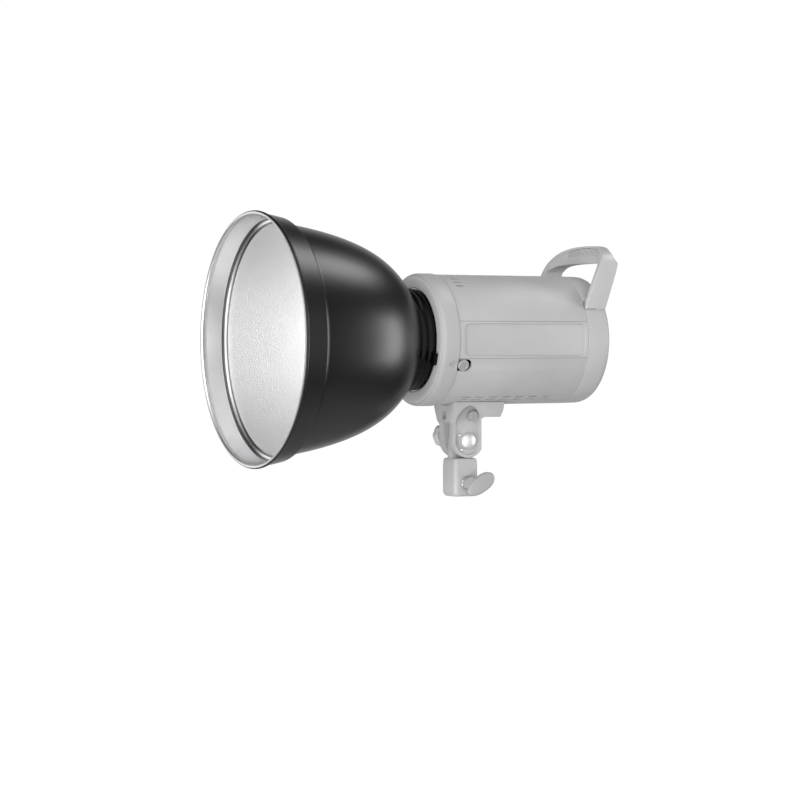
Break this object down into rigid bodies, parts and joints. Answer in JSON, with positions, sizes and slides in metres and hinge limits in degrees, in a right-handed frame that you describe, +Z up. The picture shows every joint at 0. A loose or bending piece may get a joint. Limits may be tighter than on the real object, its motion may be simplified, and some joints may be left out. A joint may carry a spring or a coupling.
{
  "type": "monolight strobe",
  "caption": "Studio flash head with a deep bayonet reflector, carrying handle, rear control panel and a tilting bracket that sits on a light-stand spigot.",
  "frame": {"origin": "centre of the stand socket mouth, on the bottom face of the stand adapter", "axes": "+Z up along the stand, -Y out of the reflector along the optical axis, +X to the left side of the strobe seen from behind"},
  "size_m": [0.2468, 0.3788, 0.2774],
  "materials": {
    "reflector": "satin black paint outside, hammered bright silver inside",
    "bayonet_black": "satin black",
    "shell_plastic": "matte grey moulded plastic",
    "side_panel_plastic": "matte grey moulded plastic",
    "bayonet_steel": "machined",
    "black_plastic": "matte",
    "steel": "zinc plated",
    "lamp_ceramic": "matte white ceramic",
    "clear_glass": "clear",
    "bulb_glass": "frosted",
    "handle_plastic": "satin grey moulded plastic",
    "grip_rubber": "ribbed matte rubber",
    "panel_plastic": "matte dark grey",
    "screen": "backlit display",
    "brass": "bright",
    "red_lens": "translucent red",
    "board": "solder resist",
    "capacitor_sleeve": "shrink sleeve",
    "transformer_core": "varnished laminations",
    "bracket_alloy": "satin grey die casting",
    "knob_plastic": "satin grey moulded plastic",
    "chrome": "polished"
  },
  "bodies": {
    "stand": {"stand_adapter": "bracket_alloy"},
    "strobe": {"front_bumper": "shell_plastic", "bayonet_socket": "bayonet_steel", "lamp_base": "lamp_ceramic", "flash_tube": "clear_glass", "modelling_lamp": "bulb_glass", "lamp_socket": "lamp_ceramic", "upper_shell": "shell_plastic", "lower_shell": "shell_plastic", "left_side_panel": "side_panel_plastic", "right_side_panel": "side_panel_plastic", "handle_frame": "handle_plastic", "handle_grip": "grip_rubber", "rear_ring": "shell_plastic", "rear_panel": "panel_plastic", "display_window": "clear_glass", "display_module": "screen", "power_inlet": "black_plastic", "inlet_pin_left": "brass", "inlet_pin_right": "brass", "inlet_pin_earth": "brass", "fuse_cap": "black_plastic", "sync_jack": "steel", "slave_sensor": "red_lens", "fan_frame": "black_plastic", "chassis_plate": "steel", "circuit_board": "board", "capacitor_left": "capacitor_sleeve", "capacitor_right": "capacitor_sleeve", "transformer": "transformer_core", "bracket_head": "bracket_alloy", "tilt_bolt": "chrome", "friction_disc_left": "brass", "friction_disc_right": "brass", "stop_pin_upper": "steel", "stop_pin_lower": "steel"},
    "reflector": {"reflector_bowl": "reflector", "bayonet_ring": "bayonet_black"},
    "catch": {"lock_slide": "black_plastic", "lock_pin": "steel"},
    "tilt_knob": {"tilt_knob": "knob_plastic"},
    "umbrella_screw": {"umbrella_screw": "steel"},
    "stand_lever": {"stand_lock_lever": "knob_plastic", "stand_lock_screw": "steel", "stand_lock_collar": "steel"},
    "fan_rotor": {"fan_rotor": "black_plastic"},
    "control_dial": {"control_dial": "black_plastic"},
    "power_rocker": {"power_rocker": "black_plastic"},
    "test_button": {"test_button": "black_plastic"},
    "lamp_button": {"lamp_button": "black_plastic"},
    "sound_button": {"sound_button": "black_plastic"},
    "slave_button": {"slave_button": "black_plastic"}
  },
  "joints": [
    {"name": "tilt", "type": "hinge", "parent": "stand", "child": "strobe", "pos_m": [0, 0.0015, 0.0547], "axis": [1, 0, 0], "range_deg": [-75, 75]},
    {"name": "reflector_twist", "type": "hinge", "parent": "strobe", "child": "reflector", "pos_m": [0, -0.0526, 0.154], "axis": [0, -1, 0], "range_deg": [0, 20]},
    {"name": "catch_slide", "type": "slide", "parent": "strobe", "child": "catch", "axis": [0, 1, 0], "range_m": [0, 0.003]},
    {"name": "tilt_knob_turn", "type": "hinge", "parent": "strobe", "child": "tilt_knob", "pos_m": [0, 0.0015, 0.0547], "axis": [-1, 0, 0], "range_deg": [0, 180]},
    {"name": "umbrella_screw_turn", "type": "hinge", "parent": "strobe", "child": "umbrella_screw", "pos_m": [0, 0.0047, 0.0796], "axis": [1, 0, 0], "range_deg": [0, 360]},
    {"name": "stand_lever_turn", "type": "hinge", "parent": "stand", "child": "stand_lever", "pos_m": [0, 0, 0.0133], "axis": [1, 0, 0], "range_deg": [-90, 90]},
    {"name": "fan_spin", "type": "hinge", "parent": "strobe", "child": "fan_rotor", "pos_m": [0, -0.0526, 0.154], "axis": [0, 1, 0], "continuous": true},
    {"name": "dial_turn", "type": "hinge", "parent": "strobe", "child": "control_dial", "pos_m": [0, -0.0526, 0.146], "axis": [0, 1, 0], "continuous": true},
    {"name": "power_rocker_tilt", "type": "hinge", "parent": "strobe", "child": "power_rocker", "pos_m": [-0.022, 0.1229, 0.1175], "axis": [1, 0, 0], "range_deg": [-14, 0]},
    {"name": "test_button_press", "type": "slide", "parent": "strobe", "child": "test_button", "axis": [0, -1, 0], "range_m": [0, 0.001], "stiffness_N_per_m": 600},
    {"name": "lamp_button_press", "type": "slide", "parent": "strobe", "child": "lamp_button", "axis": [0, -1, 0], "range_m": [0, 0.001], "stiffness_N_per_m": 600},
    {"name": "sound_button_press", "type": "slide", "parent": "strobe", "child": "sound_button", "axis": [0, -1, 0], "range_m": [0, 0.001], "stiffness_N_per_m": 600},
    {"name": "slave_button_press", "type": "slide", "parent": "strobe", "child": "slave_button", "axis": [0, -1, 0], "range_m": [0, 0.001], "stiffness_N_per_m": 600}
  ],
  "couplings": [
    {"joint": "catch_slide", "follows": "reflector_twist", "m_per_rad": 0.008594}
  ]
}
